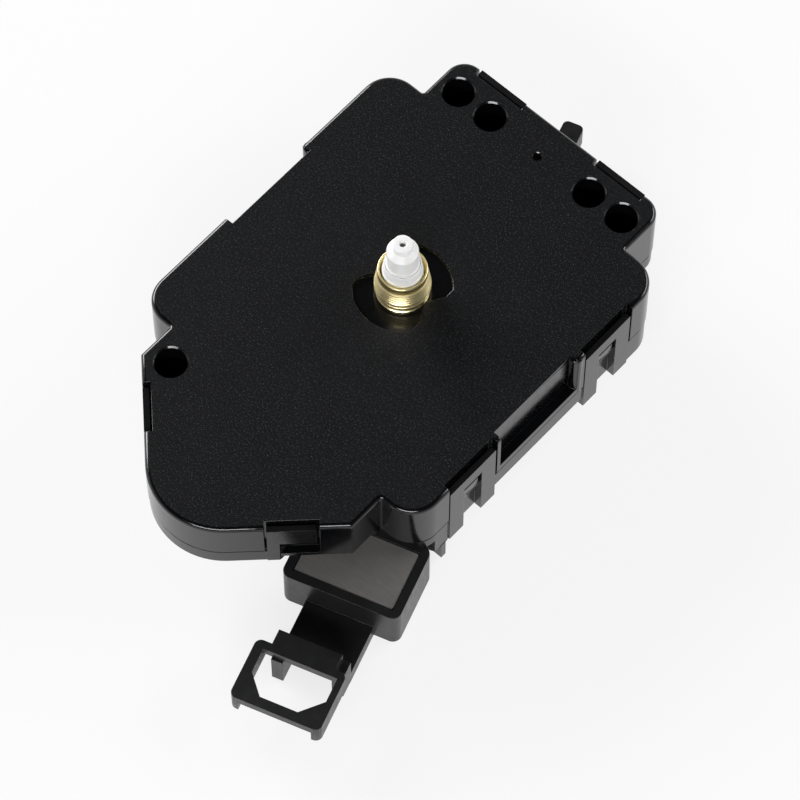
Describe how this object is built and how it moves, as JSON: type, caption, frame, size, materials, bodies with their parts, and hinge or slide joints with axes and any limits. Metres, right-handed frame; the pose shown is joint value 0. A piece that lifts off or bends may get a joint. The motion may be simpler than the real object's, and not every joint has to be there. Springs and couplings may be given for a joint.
{
  "type": "pendulum clock movement",
  "caption": "Black plastic quartz pendulum clock movement with a threaded brass bush, hand shafts, a geared train, a battery bay and a swinging magnetic pendulum lever with a hook",
  "frame": {"origin": "on the hand shaft's axis, in the plane of the dial face", "axes": "+Z out of the dial face along the hand shaft, +Y to the movement's top, +X to the right seen from the dial"},
  "size_m": [0.0584, 0.0992, 0.0319],
  "materials": {
    "black_case": "satin black moulding",
    "brass": "turned",
    "white_plastic": "satin",
    "steel": "drawn",
    "lid_steel": "brushed",
    "magnet": "sintered",
    "copper": "enamelled copper wire",
    "board": "bare laminate",
    "chip": "moulded",
    "spring_metal": "nickel plated"
  },
  "bodies": {
    "case": {"front_case": "black_case", "rear_cover": "black_case", "threaded_bush": "brass", "gear_plate": "white_plastic", "motor_stator": "steel", "motor_coil_core": "steel", "motor_coil_bobbin": "white_plastic", "motor_coil_winding": "copper", "circuit_board": "board", "control_chip": "chip", "quartz_crystal": "spring_metal", "capacitor": "spring_metal", "battery_contact_positive": "spring_metal", "battery_contact_negative": "spring_metal", "pendulum_coil_bobbin": "white_plastic", "pendulum_coil_winding": "copper", "pendulum_coil_core": "steel", "lever_pivot_pin": "steel", "lever_clip": "spring_metal"},
    "hour": {"hour_wheel": "white_plastic"},
    "minute": {"minute_tube": "white_plastic"},
    "centre": {"centre_wheel": "white_plastic"},
    "seconds": {"seconds_arbor": "steel", "seconds_wheel": "white_plastic"},
    "third": {"third_wheel": "white_plastic", "third_pinion": "steel"},
    "intermediate": {"intermediate_wheel": "white_plastic"},
    "rotor": {"rotor_pinion": "white_plastic", "rotor_magnet": "magnet"},
    "reversing": {"reversing_wheel": "white_plastic"},
    "setting": {"setting_gear": "white_plastic", "setting_knob": "black_case"},
    "lever": {"pendulum_lever": "black_case", "lever_magnet": "magnet", "magnet_lid": "lid_steel"}
  },
  "joints": [
    {"name": "minute_spin", "type": "hinge", "parent": "case", "child": "minute", "pos_m": [0, 0, 0], "axis": [0, 0, -1], "continuous": true},
    {"name": "hour_spin", "type": "hinge", "parent": "case", "child": "hour", "pos_m": [0, 0, 0], "axis": [0, 0, -1], "continuous": true},
    {"name": "reversing_spin", "type": "hinge", "parent": "case", "child": "reversing", "pos_m": [0.0068, 0.00317, 0], "axis": [0, 0, -1], "continuous": true},
    {"name": "setting_spin", "type": "hinge", "parent": "case", "child": "setting", "pos_m": [0.01688, 0.00531, 0], "axis": [0, 0, -1], "continuous": true},
    {"name": "seconds_spin", "type": "hinge", "parent": "case", "child": "seconds", "pos_m": [0, 0, 0], "axis": [0, 0, -1], "continuous": true},
    {"name": "third_spin", "type": "hinge", "parent": "case", "child": "third", "pos_m": [0, 0.0068, 0], "axis": [0, 0, -1], "continuous": true},
    {"name": "centre_spin", "type": "hinge", "parent": "case", "child": "centre", "pos_m": [0, 0, 0], "axis": [0, 0, -1], "continuous": true},
    {"name": "intermediate_spin", "type": "hinge", "parent": "case", "child": "intermediate", "pos_m": [0.00552, -0.00463, 0], "axis": [0, 0, -1], "continuous": true},
    {"name": "rotor_spin", "type": "hinge", "parent": "case", "child": "rotor", "pos_m": [0.00911, -0.00892, 0], "axis": [0, 0, -1], "continuous": true},
    {"name": "lever_swing", "type": "hinge", "parent": "case", "child": "lever", "pos_m": [0, 0.0281, 0], "axis": [0, 0, 1], "range_deg": [-22.5, 0]}
  ],
  "couplings": [
    {"joint": "hour_spin", "follows": "minute_spin", "ratio": 0.083333},
    {"joint": "reversing_spin", "follows": "minute_spin", "ratio": -0.33333},
    {"joint": "setting_spin", "follows": "minute_spin", "ratio": 0.4},
    {"joint": "intermediate_spin", "follows": "rotor_spin", "ratio": -0.16667},
    {"joint": "seconds_spin", "follows": "rotor_spin", "ratio": 0.033333},
    {"joint": "third_spin", "follows": "rotor_spin", "ratio": -0.0044444},
    {"joint": "centre_spin", "follows": "rotor_spin", "ratio": 0.00055556}
  ]
}
